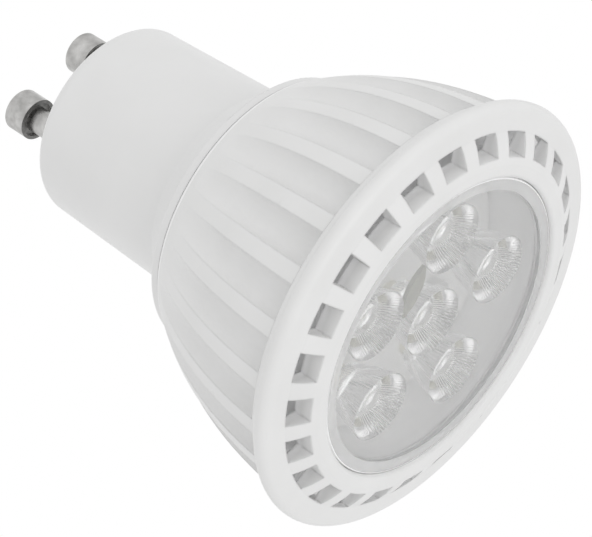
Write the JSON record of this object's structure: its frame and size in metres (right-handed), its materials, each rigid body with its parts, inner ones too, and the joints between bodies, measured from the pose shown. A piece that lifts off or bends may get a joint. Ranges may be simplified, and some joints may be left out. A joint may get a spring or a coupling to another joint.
{
  "type": "gu10 spotlight bulb",
  "caption": "LED spotlight bulb with a white finned bell-shaped heat sink, vented front bezel, clear multi-lens face and tapered cap with headed twist-lock contact pins.",
  "frame": {"origin": "centre of the front ring, on the plane it stands on", "axes": "+Z along the bulb's axis from the front ring to the pins, X through both pins"},
  "size_m": [0.05, 0.05, 0.0606],
  "materials": {
    "white_coat": "satin white coat on cast aluminium",
    "white_cap": "moulded white, soft sheen",
    "nickel": "turned, nickel plated",
    "clear_lens": "clear moulded acrylic",
    "white_board": "white solder mask",
    "damper_foam": "olive foam, matt",
    "pad": "matt silicone",
    "screw_steel": "zinc plated",
    "driver_laminate": "green laminate",
    "ferrite": "matt sintered",
    "winding_tape": "yellow tape",
    "capacitor_sleeve": "shrunk sleeve",
    "resistor_coat": "lacquered",
    "chip_black": "moulded black",
    "wire_brown": "wire cover",
    "wire_blue": "wire cover",
    "wire_red": "wire cover",
    "wire_black": "wire cover",
    "emitter": "silicone dome on a pale package"
  },
  "bodies": {
    "root": {"front_bezel": "white_coat", "heat_sink": "white_coat", "base_cap": "white_cap", "contact_pin_left": "nickel", "contact_pin_right": "nickel", "lens_plate": "clear_lens", "lens_damper": "damper_foam", "led_board": "white_board", "thermal_pad": "pad", "board_screws": "screw_steel", "base_screws": "screw_steel", "driver_board": "driver_laminate", "transformer_core": "ferrite", "transformer_winding": "winding_tape", "bulk_capacitor": "capacitor_sleeve", "output_capacitor": "capacitor_sleeve", "fuse_resistor": "resistor_coat", "bridge_rectifier": "chip_black", "controller_chip": "chip_black", "live_wire": "wire_brown", "neutral_wire": "wire_blue", "led_lead_positive": "wire_red", "led_lead_negative": "wire_black", "led_centre": "emitter", "led_outer_1": "emitter", "led_outer_2": "emitter", "led_outer_3": "emitter", "led_outer_4": "emitter", "led_outer_5": "emitter"}
  },
  "joints": []
}
